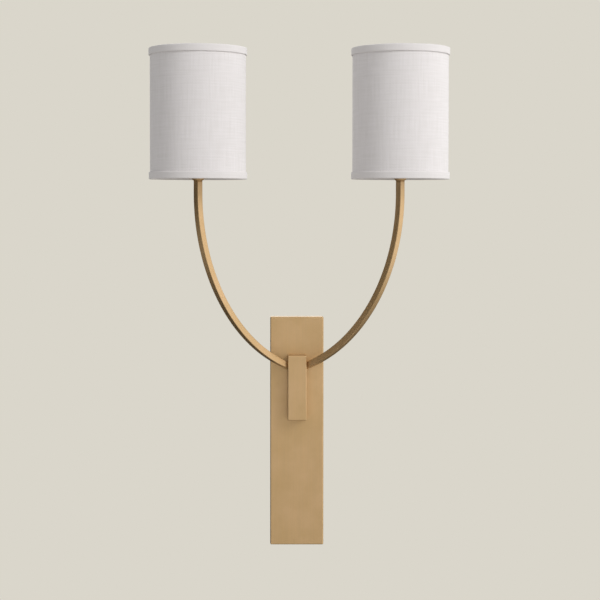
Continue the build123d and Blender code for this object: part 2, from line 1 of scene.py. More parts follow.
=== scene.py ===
import bpy
from math import acos, cos, pi, radians, sin
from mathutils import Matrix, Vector, noise


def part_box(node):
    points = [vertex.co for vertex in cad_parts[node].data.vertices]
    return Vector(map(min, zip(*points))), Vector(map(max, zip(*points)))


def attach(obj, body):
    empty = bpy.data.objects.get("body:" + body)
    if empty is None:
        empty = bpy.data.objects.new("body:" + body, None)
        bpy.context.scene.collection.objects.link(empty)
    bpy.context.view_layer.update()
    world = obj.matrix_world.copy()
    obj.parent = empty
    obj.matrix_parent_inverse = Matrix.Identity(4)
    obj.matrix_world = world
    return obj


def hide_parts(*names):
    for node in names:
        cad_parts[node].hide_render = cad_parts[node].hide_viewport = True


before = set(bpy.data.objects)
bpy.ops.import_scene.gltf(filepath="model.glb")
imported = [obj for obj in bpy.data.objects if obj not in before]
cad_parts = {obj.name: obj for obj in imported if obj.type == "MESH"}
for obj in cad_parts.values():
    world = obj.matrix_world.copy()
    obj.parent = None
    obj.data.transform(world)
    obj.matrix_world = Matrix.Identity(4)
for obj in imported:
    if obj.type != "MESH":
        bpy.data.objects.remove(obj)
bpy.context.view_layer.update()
scene = bpy.context.scene

# Double arm wall sconce. Objects are in metres, +Z up, the wall is the plane Y = 0 and the light
# stands out towards -Y. Sizes are written in millimetres and turned to metres by MM.
MM = 0.001
SIDES = {"left": -1, "right": 1}


# ------------------------------------------------------------------ camera
# A long lens almost level with the tops of the arms, left of the middle of the light and aimed
# a little down, as the product shot was taken. The rest of the framing is lens shift.
EYE = Vector((-35.3, -1669.8, 249.1))
LOOK_DOWN = radians(1.80)
LENS = 90.0
SENSOR = 36.0
PICTURE_PX = 600
SHIFT_RIGHT_PX = 35.0
SHIFT_UP_PX = -46.7

camera = bpy.data.objects.new("camera", bpy.data.cameras.new("camera"))
camera.location = EYE * MM
camera.rotation_euler = (pi / 2 - LOOK_DOWN, 0, 0)
camera.data.lens = LENS
camera.data.sensor_width = SENSOR
camera.data.shift_x = SHIFT_RIGHT_PX / PICTURE_PX
camera.data.shift_y = SHIFT_UP_PX / PICTURE_PX
camera.data.clip_start = 0.05
scene.collection.objects.link(camera)
scene.camera = camera


# ------------------------------------------------------------------ backplate and block
# A pan pressed from brass sheet and a solid brass block, aged and then brushed lengthways under a
# matt lacquer. The eye gets a broad soft shine, faint clouds of darker metal, hair-fine lines up
# and down each piece, and edges painted a little lighter, partly as rubbing wear and partly as a painted
# highlight.
AGED_BRASS = "CEAF87"
CLOUDED_BRASS = "C6A87D"
RUBBED_AND_HIGHLIT_BRASS = "E1C6A4"
BRUSH_LINE_MM = 1.1          # really 0.1 to 0.2 mm, drawn wider so that it shows
BRUSH_LENGTH_MM = 70.0
BRUSH_RELIEF_MM = 0.05
CLOUD_MM = 38.0
RUB_AND_HIGHLIGHT_MM = 1.2                 # width of the band along each edge that is painted lighter, as rubbing and as painted highlight
RUB_AND_HIGHLIGHT_SHARE = 0.85             # how much of the rubbed and highlit colour shows right on the edge
EDGE_LEAN = (0.995, 0.88)    # agreement of face and softened edge where the rubbing and painted highlight start and are full
MIX_A, MIX_B, MIX_RESULT = 6, 7, 2   # colour sockets of a mix node, whose names repeat
NOISE_SPAN = (0.3, 0.7)      # nearly all that a noise texture gives lies in this span
CLOUD_SPAN = (0.35, 0.65)
LINE_TINT = (0.965, 1.035)   # the darkest and the lightest brush line, as shares of the metal
LINE_MATT = (0.48, 0.56)     # roughness of the finest and the coarsest brush line


def linear(code):
    """An sRGB hex colour as linear RGBA."""
    channels = [int(code[i:i + 2], 16) / 255 for i in (0, 2, 4)]
    return [c / 12.92 if c <= 0.04045 else ((c + 0.055) / 1.055) ** 2.4 for c in channels] + [1.0]


def add(tree, kind, *inputs, named=None, **settings):
    """Adds one node: its settings, then its inputs in order or by name, each a value or a socket."""
    made = tree.nodes.new(kind)
    for setting, value in settings.items():
        setattr(made, setting, value)
    for key, value in [*enumerate(inputs), *(named or {}).items()]:
        if isinstance(value, bpy.types.NodeSocket):
            tree.links.new(value, made.inputs[key])
        elif value is not None:
            made.inputs[key].default_value = value
    return made


def new_finish(name, **constants):
    """A material with constants on its shader, and its Object coordinates in millimetres."""
    material = bpy.data.materials.new(name)
    material.use_nodes = True
    tree = material.node_tree
    shader = tree.nodes["Principled BSDF"]
    for socket, value in constants.items():
        shader.inputs[socket.replace("_", " ").title()].default_value = value
    place = add(tree, "ShaderNodeTexCoord")
    place_mm = add(tree, "ShaderNodeVectorMath", place.outputs["Object"], operation="SCALE",
                   named={"Scale": 1 / MM})
    return material, tree, shader, place_mm.outputs[0]


def brushed_brass(name, stretch, relief_mm=BRUSH_RELIEF_MM, on_tube=False):
    """Aged brass under matt lacquer. stretch is how many millimetres a brush line runs each way,
    in the piece's own space or, on a tube, in its cross section and along it."""
    material, tree, shader, place_mm = new_finish(name, Metallic=1.0, Coat_Weight=0.30,
                                                  Coat_Roughness=0.22)
    brushed_mm = place_mm
    if on_tube:
        section = add(tree, "ShaderNodeAttribute", attribute_name="section")
        along = add(tree, "ShaderNodeAttribute", attribute_name="along")
        lengthways = add(tree, "ShaderNodeCombineXYZ", 0.0, 0.0, along.outputs["Fac"])
        both = add(tree, "ShaderNodeVectorMath", section.outputs["Vector"], lengthways.outputs[0],
                   operation="ADD")
        brushed_mm = add(tree, "ShaderNodeVectorMath", both.outputs[0], operation="SCALE",
                         named={"Scale": 1 / MM}).outputs[0]
    clouds = add(tree, "ShaderNodeTexNoise", place_mm,
                 named={"Scale": 1 / CLOUD_MM, "Detail": 3.0, "Roughness": 0.6})
    cloud = add(tree, "ShaderNodeMapRange", clouds.outputs[0], *CLOUD_SPAN)
    base = add(tree, "ShaderNodeMix", cloud.outputs[0], data_type="RGBA",
               named={MIX_A: linear(AGED_BRASS), MIX_B: linear(CLOUDED_BRASS)})
    lines = add(tree, "ShaderNodeMapping", brushed_mm,
                named={"Scale": [1 / length for length in stretch]})
    brushing = add(tree, "ShaderNodeTexNoise", lines.outputs[0],
                   named={"Scale": 1.0, "Detail": 2.0, "Roughness": 0.5})
    tint = add(tree, "ShaderNodeMapRange", brushing.outputs[0], *NOISE_SPAN, *LINE_TINT)
    lined = add(tree, "ShaderNodeVectorMath", base.outputs[MIX_RESULT], operation="SCALE",
                named={"Scale": tint.outputs[0]})
    # Every edge is painted lighter here, partly as rubbing wear and partly as a painted highlight.
    softened = add(tree, "ShaderNodeBevel", 0.0 if on_tube else RUB_AND_HIGHLIGHT_MM * MM, samples=8)
    face = add(tree, "ShaderNodeNewGeometry")
    agree = add(tree, "ShaderNodeVectorMath", softened.outputs[0], face.outputs["Normal"],
                operation="DOT_PRODUCT")
    edge = add(tree, "ShaderNodeMapRange", agree.outputs["Value"], *EDGE_LEAN, 0.0, RUB_AND_HIGHLIGHT_SHARE)
    rubbed_and_highlit = add(tree, "ShaderNodeMix", edge.outputs[0], data_type="RGBA",
                 named={MIX_A: lined.outputs[0], MIX_B: linear(RUBBED_AND_HIGHLIT_BRASS)})
    matt = add(tree, "ShaderNodeMapRange", brushing.outputs[0], *NOISE_SPAN, *LINE_MATT)
    relief = add(tree, "ShaderNodeBump",
                 named={"Strength": 0.3, "Distance": relief_mm * MM, "Height": brushing.outputs[0]})
    tree.links.new(rubbed_and_highlit.outputs[MIX_RESULT], shader.inputs["Base Color"])
    tree.links.new(matt.outputs[0], shader.inputs["Roughness"])
    tree.links.new(relief.outputs[0], shader.inputs["Normal"])
    return material


def dress(material, *names):
    """Gives CAD nodes a material in place of their plain one."""
    for name in names:
        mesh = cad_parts[name].data
        mesh.materials.clear()
        mesh.materials.append(material)


plate_brass = brushed_brass("aged_brass_brushed_upright",
                            (BRUSH_LINE_MM, BRUSH_LINE_MM, BRUSH_LENGTH_MM))
dress(plate_brass, "backplate", "arm_block")


# ------------------------------------------------------------------ arms
# Each arm is a square brass tube bent to one radius, upright where it meets the shade and straight
# again where it enters the block. Its outside corners are softened by the drawing of the tube.
TUBE = 6.8
TUBE_WALL = 0.9
TUBE_CORNER_R = 0.7
BEND_R = 200.0
SWEEP = radians(45)
REACH = 126.15               # from the shade axis to the lower end of the bend, along the arm
UPRIGHT = 13.5
TAIL = 14.61
STEPS_ALONG = 150
CORNER_STEPS = 4
TUBE_LINE_MM = 2.4           # really 0.1 to 0.2 mm, drawn wider so that it shows
TUBE_RELIEF_MM = 0.02
bend_angle = acos(1 - REACH / BEND_R)


def size_tree(name, **sizes):
    """An empty geometry tree with one named input for each size and one for the material."""
    tree = bpy.data.node_groups.new(name, "GeometryNodeTree")
    tree.interface.new_socket("Geometry", in_out="OUTPUT", socket_type="NodeSocketGeometry")
    for label, value in sizes.items():
        kind = "NodeSocketInt" if isinstance(value, int) else "NodeSocketFloat"
        tree.interface.new_socket(label, in_out="INPUT", socket_type=kind).default_value = value
    tree.interface.new_socket("Material", in_out="INPUT", socket_type="NodeSocketMaterial")
    return tree, add(tree, "NodeGroupInput").outputs


def end_tree(tree, shape, given):
    """Realises what a tree has made, paints it and hands it out."""
    real = add(tree, "GeometryNodeRealizeInstances", shape)
    painted = add(tree, "GeometryNodeSetMaterial", real.outputs[0], None, given["Material"])
    add(tree, "NodeGroupOutput", painted.outputs[0])


def plain_mesh(thing):
    """Keeps what an object's modifiers make as its own mesh, and removes them."""
    bpy.context.view_layer.update()
    evaluated = thing.evaluated_get(bpy.context.evaluated_depsgraph_get())
    mesh = bpy.data.meshes.new_from_object(evaluated)
    thing.modifiers.clear()
    thing.data = mesh
    return thing


def grow(name, tree, material, **sizes):
    """Runs a geometry tree with its sizes and keeps the result as one plain mesh."""
    host = bpy.data.objects.new(name, bpy.data.meshes.new(name))
    scene.collection.objects.link(host)
    modifier = host.modifiers.new("shape", "NODES")
    modifier.node_group = tree
    values = {**sizes, "Material": material}
    for item in tree.interface.items_tree:
        if item.in_out == "INPUT":
            modifier[item.identifier] = values.get(item.name, item.default_value)
    return plain_mesh(host)


def even_shading(thing):
    """Shades a piece smooth, with each broad face keeping its own direction."""
    for face in thing.data.polygons:
        face.use_smooth = True
    thing.modifiers.new("even", "WEIGHTED_NORMAL").keep_sharp = False
    return plain_mesh(thing)


arm_tree, given = size_tree("bent_square_tube", Upright=UPRIGHT * MM, Bend_radius=BEND_R * MM,
                            Bend_angle=bend_angle, Tail=TAIL * MM, Tube=TUBE * MM,
                            Corner=TUBE_CORNER_R * MM, Steps=STEPS_ALONG, Axis_x=0.0, Axis_y=0.0,
                            Top=0.0, Turn=0.0)

# A straight line as long as the arm, in even steps.
bend_run = add(arm_tree, "ShaderNodeMath", given["Bend_radius"], given["Bend_angle"], operation="MULTIPLY")
two_runs = add(arm_tree, "ShaderNodeMath", given["Upright"], bend_run.outputs[0], operation="ADD")
whole_run = add(arm_tree, "ShaderNodeMath", two_runs.outputs[0], given["Tail"], operation="ADD")
far_end = add(arm_tree, "ShaderNodeCombineXYZ", whole_run.outputs[0])
straight_line = add(arm_tree, "GeometryNodeCurvePrimitiveLine", None, far_end.outputs[0])
stepped = add(arm_tree, "GeometryNodeResampleCurve", straight_line.outputs[0], None, given["Steps"])

# How far each step lies above the bend, round it and past it.
where = add(arm_tree, "ShaderNodeSeparateXYZ", add(arm_tree, "GeometryNodeInputPosition").outputs[0])
run = add(arm_tree, "ShaderNodeMath", where.outputs["X"], given["Upright"], operation="SUBTRACT")
above = add(arm_tree, "ShaderNodeMath", run.outputs[0], -1.0, operation="MULTIPLY")
rise = add(arm_tree, "ShaderNodeMath", above.outputs[0], 0.0, operation="MAXIMUM")
turn_share = add(arm_tree, "ShaderNodeMath", run.outputs[0], given["Bend_radius"], operation="DIVIDE")
turned = add(arm_tree, "ShaderNodeClamp", turn_share.outputs[0], 0.0, given["Bend_angle"])
over = add(arm_tree, "ShaderNodeMath", run.outputs[0], bend_run.outputs[0], operation="SUBTRACT")
past = add(arm_tree, "ShaderNodeMath", over.outputs[0], 0.0, operation="MAXIMUM")

# Its place in the plane of the arm, from the point on the shade axis where the bend begins.
cos_turned = add(arm_tree, "ShaderNodeMath", turned.outputs[0], operation="COSINE")
sin_turned = add(arm_tree, "ShaderNodeMath", turned.outputs[0], operation="SINE")
cos_end = add(arm_tree, "ShaderNodeMath", given["Bend_angle"], operation="COSINE")
sin_end = add(arm_tree, "ShaderNodeMath", given["Bend_angle"], operation="SINE")
in_bend = add(arm_tree, "ShaderNodeMath", cos_turned.outputs[0], 1.0, operation="SUBTRACT")
out_bend = add(arm_tree, "ShaderNodeMath", in_bend.outputs[0], given["Bend_radius"], operation="MULTIPLY")
out_tail = add(arm_tree, "ShaderNodeMath", past.outputs[0], sin_end.outputs[0], operation="MULTIPLY")
outwards = add(arm_tree, "ShaderNodeMath", out_bend.outputs[0], out_tail.outputs[0], operation="SUBTRACT")
down_bend = add(arm_tree, "ShaderNodeMath", sin_turned.outputs[0], given["Bend_radius"], operation="MULTIPLY")
down_tail = add(arm_tree, "ShaderNodeMath", past.outputs[0], cos_end.outputs[0], operation="MULTIPLY")
below = add(arm_tree, "ShaderNodeMath", rise.outputs[0], down_bend.outputs[0], operation="SUBTRACT")
height = add(arm_tree, "ShaderNodeMath", below.outputs[0], down_tail.outputs[0], operation="SUBTRACT")
on_arm = add(arm_tree, "ShaderNodeCombineXYZ", outwards.outputs[0], height.outputs[0])

# The line is bent, skinned with the square section, stood upright and swung to its side, and
# keeps its run and its section for the brushing.
how_far = add(arm_tree, "GeometryNodeSplineParameter")
marked = add(arm_tree, "GeometryNodeStoreNamedAttribute", stepped.outputs[0], None, "along",
             how_far.outputs["Length"], data_type="FLOAT", domain="POINT")
bent = add(arm_tree, "GeometryNodeSetPosition", marked.outputs[0], None, on_arm.outputs[0])
faced = add(arm_tree, "GeometryNodeSetCurveNormal", bent.outputs[0], mode="Z_UP")
square = add(arm_tree, "GeometryNodeCurvePrimitiveQuadrilateral", given["Tube"], given["Tube"])
softened = add(arm_tree, "GeometryNodeFilletCurve", square.outputs[0], CORNER_STEPS, given["Corner"],
               mode="POLY")
corner_place = add(arm_tree, "GeometryNodeInputPosition")
measured = add(arm_tree, "GeometryNodeStoreNamedAttribute", softened.outputs[0], None, "section",
               corner_place.outputs[0], data_type="FLOAT_VECTOR", domain="POINT")
skin = add(arm_tree, "GeometryNodeCurveToMesh", faced.outputs[0], measured.outputs[0])
spring = add(arm_tree, "ShaderNodeMath", given["Top"], given["Upright"], operation="SUBTRACT")
spot = add(arm_tree, "ShaderNodeCombineXYZ", given["Axis_x"], given["Axis_y"], spring.outputs[0])
swung = add(arm_tree, "ShaderNodeCombineXYZ", pi / 2, 0.0, given["Turn"])
stood = add(arm_tree, "GeometryNodeTransform", skin.outputs[0], spot.outputs[0], swung.outputs[0])
end_tree(arm_tree, stood.outputs[0], given)

arm_brass = brushed_brass("aged_brass_brushed_tube", (TUBE_LINE_MM, TUBE_LINE_MM, BRUSH_LENGTH_MM),
                          relief_mm=TUBE_RELIEF_MM, on_tube=True)
shade_axis = {}
for side, sign in SIDES.items():
    low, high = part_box(f"shade_cover_{side}")
    shade_axis[side] = Vector(((low.x + high.x) / 2, (low.y + high.y) / 2, 0))
    arm = grow(f"bent_arm_{side}", arm_tree, arm_brass, Axis_x=shade_axis[side].x,
               Axis_y=shade_axis[side].y, Top=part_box(f"arm_{side}")[1].z,
               Turn=-SWEEP if sign > 0 else SWEEP - pi)
    wall = arm.modifiers.new("wall", "SOLIDIFY")
    wall.thickness = TUBE_WALL * MM
    wall.offset = -1
    wall.use_even_offset = True
    plain_mesh(arm)
    even_shading(arm)
    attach(arm, "fixture")
    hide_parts(f"arm_{side}")


# ------------------------------------------------------------------ collars, cups and locknuts
# Small turned pieces that close each arm: a flared collar brazed to its end and a spun cup round
# the lampholder, in the same brass, turned so that the fine lines run round. A zinc plated nut
# holds the cup inside.
TURNED_LENGTH_MM = 22.0


def mottled(name, light, dark, mark_mm, detail, grit=0.5, rough=None, relief=None, **constants):
    """A finish with soft marks of one size. They shift its colour, its roughness if that is given
    as a span, and its relief if that is given as a strength and a height in millimetres."""
    material, tree, shader, place_mm = new_finish(name, **constants)
    marks = add(tree, "ShaderNodeTexNoise", place_mm,
                named={"Scale": 1 / mark_mm, "Detail": detail, "Roughness": grit})
    mix = add(tree, "ShaderNodeMix", marks.outputs[0], data_type="RGBA",
              named={MIX_A: linear(dark), MIX_B: linear(light)})
    tree.links.new(mix.outputs[MIX_RESULT], shader.inputs["Base Color"])
    if rough:
        dull = add(tree, "ShaderNodeMapRange", marks.outputs[0], *NOISE_SPAN, *rough)
        tree.links.new(dull.outputs[0], shader.inputs["Roughness"])
    if relief:
        strength, height_mm = relief
        bump = add(tree, "ShaderNodeBump",
                   named={"Strength": strength, "Distance": height_mm * MM, "Height": marks.outputs[0]})
        tree.links.new(bump.outputs[0], shader.inputs["Normal"])
    return material


turned_brass = brushed_brass("aged_brass_turned", (TURNED_LENGTH_MM, TURNED_LENGTH_MM, BRUSH_LINE_MM))
for side in SIDES:
    dress(turned_brass, f"nipple_{side}", f"socket_cup_{side}")
zinc = mottled("zinc_plated_steel", "C9CCCF", "AEB2B8", mark_mm=6.0, detail=4.0, grit=0.65,
               rough=(0.30, 0.48), Metallic=1.0)
dress(zinc, "mounting_strap", "block_screws", "terminal_fixing_screw", "locknut_left", "locknut_right")


# ------------------------------------------------------------------ edge screws
# Two countersunk screws go through the top and bottom edges of the pan into the strap's ears.
# They are brass to match, with a cross recess and a rolled thread.
HEAD_R = 3.1
HEAD_CONE = 1.35
SHANK_R = 1.75
SCREW_LENGTH = 7.0
THREAD_PITCH = 0.7
RECESS_W = 0.8
RECESS_L = 3.4
RECESS_DEPTH = 1.0
CORE_SHARE = 0.8             # core, middle and half height of the thread, as shares of SHANK_R
THREAD_SHARE = 0.9
RIDGE_SHARE = 0.1


def helical_ridge(tree, radius, ridge_radius, run, pitch, steps, sides):
    """Adds a thread: a round ridge of so many sides that climbs a helix of so many steps a turn."""
    turns = add(tree, "ShaderNodeMath", run, pitch, operation="DIVIDE")
    helix = add(tree, "GeometryNodeCurveSpiral",
                named={"Resolution": steps, "Rotations": turns.outputs[0], "Start Radius": radius,
                       "End Radius": radius, "Height": run})
    ridge = add(tree, "GeometryNodeCurvePrimitiveCircle",
                named={"Resolution": sides, "Radius": ridge_radius})
    return add(tree, "GeometryNodeCurveToMesh", helix.outputs[0], ridge.outputs[0],
               named={"Fill Caps": True})


screw_tree, given = size_tree("countersunk_screws", Head_radius=HEAD_R * MM, Cone=HEAD_CONE * MM,
                              Shank_radius=SHANK_R * MM, Length=SCREW_LENGTH * MM, Pitch=THREAD_PITCH * MM,
                              Recess_width=RECESS_W * MM, Recess_length=RECESS_L * MM,
                              Recess_depth=RECESS_DEPTH * MM, Spacing=0.0, Out=0.0)

# The head: a cone with two crossed slots cut in its face.
head = add(screw_tree, "GeometryNodeMeshCone",
           named={"Vertices": 40, "Radius Top": given["Head_radius"], "Radius Bottom": given["Shank_radius"],
                  "Depth": given["Cone"]})
under = add(screw_tree, "ShaderNodeMath", given["Cone"], -1.0, operation="MULTIPLY")
head_place = add(screw_tree, "ShaderNodeCombineXYZ", 0.0, 0.0, under.outputs[0])
head_set = add(screw_tree, "GeometryNodeTransform", head.outputs[0], head_place.outputs[0])
slot_box = add(screw_tree, "ShaderNodeCombineXYZ", given["Recess_length"], given["Recess_width"],
               given["Recess_depth"])
cross_box = add(screw_tree, "ShaderNodeCombineXYZ", given["Recess_width"], given["Recess_length"],
                given["Recess_depth"])
one_slot = add(screw_tree, "GeometryNodeMeshCube", slot_box.outputs[0])
other_slot = add(screw_tree, "GeometryNodeMeshCube", cross_box.outputs[0])
cut_once = add(screw_tree, "GeometryNodeMeshBoolean", head_set.outputs[0], one_slot.outputs[0],
               operation="DIFFERENCE", solver="EXACT")
cut_twice = add(screw_tree, "GeometryNodeMeshBoolean", cut_once.outputs[0], other_slot.outputs[0],
                operation="DIFFERENCE", solver="EXACT")

# The shank, and a ridge that climbs round it as the thread.
shank_run = add(screw_tree, "ShaderNodeMath", given["Length"], given["Cone"], operation="SUBTRACT")
core_r = add(screw_tree, "ShaderNodeMath", given["Shank_radius"], CORE_SHARE, operation="MULTIPLY")
shank = add(screw_tree, "GeometryNodeMeshCylinder",
            named={"Vertices": 24, "Radius": core_r.outputs[0], "Depth": shank_run.outputs[0]})
half_run = add(screw_tree, "ShaderNodeMath", shank_run.outputs[0], -0.5, operation="MULTIPLY")
shank_z = add(screw_tree, "ShaderNodeMath", half_run.outputs[0], given["Cone"], operation="SUBTRACT")
shank_place = add(screw_tree, "ShaderNodeCombineXYZ", 0.0, 0.0, shank_z.outputs[0])
shank_set = add(screw_tree, "GeometryNodeTransform", shank.outputs[0], shank_place.outputs[0])
thread_r = add(screw_tree, "ShaderNodeMath", given["Shank_radius"], THREAD_SHARE, operation="MULTIPLY")
ridge_r = add(screw_tree, "ShaderNodeMath", given["Shank_radius"], RIDGE_SHARE, operation="MULTIPLY")
thread = helical_ridge(screw_tree, thread_r.outputs[0], ridge_r.outputs[0], shank_run.outputs[0],
                       given["Pitch"], steps=20, sides=5)
thread_z = add(screw_tree, "ShaderNodeMath", given["Length"], -1.0, operation="MULTIPLY")
thread_place = add(screw_tree, "ShaderNodeCombineXYZ", 0.0, 0.0, thread_z.outputs[0])
thread_set = add(screw_tree, "GeometryNodeTransform", thread.outputs[0], thread_place.outputs[0])
screw = add(screw_tree, "GeometryNodeJoinGeometry")
for part in (cut_twice, shank_set, thread_set):
    screw_tree.links.new(part.outputs[0], screw.inputs[0])

# One screw at the top edge of the pan and one, turned over, at the bottom edge.
half_gap = add(screw_tree, "ShaderNodeMath", given["Spacing"], 0.5, operation="MULTIPLY")
out_y = add(screw_tree, "ShaderNodeMath", given["Out"], -1.0, operation="MULTIPLY")
top_point = add(screw_tree, "ShaderNodeCombineXYZ", 0.0, out_y.outputs[0], half_gap.outputs[0])
step_down = add(screw_tree, "ShaderNodeMath", given["Spacing"], -1.0, operation="MULTIPLY")
down_step = add(screw_tree, "ShaderNodeCombineXYZ", 0.0, 0.0, step_down.outputs[0])
two_points = add(screw_tree, "GeometryNodeMeshLine",
                 named={"Count": 2, "Start Location": top_point.outputs[0], "Offset": down_step.outputs[0]})
which = add(screw_tree, "GeometryNodeInputIndex")
half_turn = add(screw_tree, "ShaderNodeMath", which.outputs[0], pi, operation="MULTIPLY")
flipped = add(screw_tree, "ShaderNodeCombineXYZ", half_turn.outputs[0])
both_screws = add(screw_tree, "GeometryNodeInstanceOnPoints", two_points.outputs[0], None,
                  screw.outputs[0], named={"Rotation": flipped.outputs[0]})
end_tree(screw_tree, both_screws.outputs[0], given)

plate_low, plate_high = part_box("backplate")
edge_screw_low, edge_screw_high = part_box("edge_screws")
edge_screw_pair = grow("cross_head_edge_screws", screw_tree, turned_brass,
                       Spacing=plate_high.z - plate_low.z,
                       Out=-(edge_screw_low.y + edge_screw_high.y) / 2)
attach(edge_screw_pair, "fixture")
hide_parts("edge_screws")


# ------------------------------------------------------------------ inside the backplate
# The terminal block is moulded nylon with brass clamp screws, the earth screw is dyed green, and
# the leads come down in white silicone sleeves.
MOULD_SPREAD = 0.06          # how far the roughness of a moulding strays to each side
PLATING_SPREAD = 0.07
HANDLING_MARK_MM = 4.0


def moulded(name, light, dark, rough, grain_mm):
    """A moulded plastic or rubber: an even colour with a faint grain from the mould."""
    return mottled(name, light, dark, mark_mm=grain_mm, detail=3.0, grit=0.6, relief=(0.2, 0.05),
                   rough=(rough - MOULD_SPREAD, rough + MOULD_SPREAD))


def plated(name, light, dark, rough):
    """A bare or plated metal with faint handling marks."""
    return mottled(name, light, dark, mark_mm=HANDLING_MARK_MM, detail=4.0, grit=0.6, Metallic=1.0,
                   rough=(rough - PLATING_SPREAD, rough + PLATING_SPREAD))


dress(moulded("moulded_nylon", "EDEBE2", "E2DFD3", 0.45, 2.0), "terminal_block")
dress(plated("bare_brass", "D9B36A", "C79F58", 0.30), "terminal_screws", "screw_shell_left",
      "screw_shell_right", "centre_contact_left", "centre_contact_right")
dress(plated("green_dyed_steel", "2E8B4C", "257A40", 0.38), "ground_screw")
dress(moulded("silicone_lead_sleeve", "EFEEEA", "E4E3DE", 0.55, 1.5), "lamp_lead_left", "lamp_lead_right")


# ------------------------------------------------------------------ lampholders and rings
# Black phenolic lampholders with a moulded thread on the outside of the skirt, and a ring with
# gripping notches that screws down on it to hold the shade's washer.
SKIRT_R = 14.0
SKIRT_THREAD_PITCH = 1.5
SKIRT_THREAD_H = 0.35
phenolic = moulded("moulded_black_phenolic", "2B2826", "201E1C", 0.36, 1.2)
for side in SIDES:
    dress(phenolic, f"lampholder_{side}", f"retaining_ring_{side}")

thread_tree, given = size_tree("moulded_thread", Radius=SKIRT_R * MM, Pitch=SKIRT_THREAD_PITCH * MM,
                               Ridge=SKIRT_THREAD_H * MM, Axis_x=0.0, Axis_y=0.0, Bottom=0.0, Run=0.0)
thread = helical_ridge(thread_tree, given["Radius"], given["Ridge"], given["Run"], given["Pitch"],
                       steps=64, sides=8)
smooth = add(thread_tree, "GeometryNodeSetShadeSmooth", thread.outputs[0])
spot = add(thread_tree, "ShaderNodeCombineXYZ", given["Axis_x"], given["Axis_y"], given["Bottom"])
stood = add(thread_tree, "GeometryNodeTransform", smooth.outputs[0], spot.outputs[0])
end_tree(thread_tree, stood.outputs[0], given)
for side in SIDES:
    ring_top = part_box(f"retaining_ring_{side}")[1].z
    skirt_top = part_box(f"lampholder_{side}")[1].z
    clear = 2 * SKIRT_THREAD_H * MM
    skirt_thread = grow(f"skirt_thread_{side}", thread_tree, phenolic, Axis_x=shade_axis[side].x,
                        Axis_y=shade_axis[side].y, Bottom=ring_top + clear,
                        Run=skirt_top - ring_top - 2 * clear)
    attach(skirt_thread, "fixture")


# ------------------------------------------------------------------ bulbs
# Candle bulbs: opal glass blown to a point, a nickel plated screw cap, a solder contact, and a
# glass stem with four coated sticks inside.
opal = mottled("blown_opal_glass", "F4F3EF", "E9E7E1", mark_mm=25.0, detail=2.0, Roughness=0.22,
               Coat_Weight=0.4, Coat_Roughness=0.08)
nickel = plated("nickel_plated_brass", "CFCBC2", "B9B4AA", 0.24)
solder = plated("tin_solder", "B4B6B8", "9EA0A3", 0.42)
sticks = moulded("phosphor_coating", "EBC95C", "DDB84A", 0.6, 0.8)
for side in SIDES:
    dress(opal, f"bulb_glass_{side}")
    dress(nickel, f"bulb_cap_{side}")
    dress(solder, f"bulb_contact_{side}")
    dress(sticks, f"bulb_filament_{side}")


# ------------------------------------------------------------------ shade wire
# The washer, the spokes and the two hoops of each shade are steel under a white powder coat,
# which is a little thick and orange-peeled.
powder = mottled("white_powder_coat", "F0EFEC", "E6E5E1", mark_mm=1.4, detail=1.0, relief=(0.35, 0.1),
                 Roughness=0.42)
for side in SIDES:
    dress(powder, f"shade_carrier_{side}", f"top_wire_ring_{side}")


# ------------------------------------------------------------------ shade covers
# Each cover is one strip of white linen pressed on to a stiff white backing and rolled into a
# drum. Its end laps over its start in a glued seam that faces the wall. The linen is a plain
# weave with slubs, thicker places in the yarn, that run up and down and round the drum.
COVER_R = 49.5
COVER_T = 0.8
LAP_W = 12.0
LAP_STEP = 0.45
LAP_EDGE = 0.15              # the free edge of the lap drops to the drum within this run
THREAD_MM = 1.3              # really 0.6 mm, drawn coarser so that the weave shows
SLUB_W_MM = 1.5
SLUB_LENGTH_MM = 34.0
WEAVE_SHARE = 0.25           # height of the weave against that of the slubs
RAISED_SPAN = (0.3, 1.7)     # nearly all of the two slubs and the weave together lies in this span
CLOTH_RELIEF_MM = 0.12
SEAM_AT = pi / 2             # towards the wall
COLUMNS = 256
COVER_ROWS = 20
DRIFT_TURNS = 1.3            # how often the radius and the height stray, round the drum
RIPPLE_TURNS = 4.0
RIPPLE_START = 3.7           # keeps the ripple from following the drift
DRIFT_RISE = 90.0
LINEN = "F0ECEC"
LINEN_SHADE = "E5E1DF"
LINEN_SLUBS = 0.8            # how much of the darker colour shows between the slubs


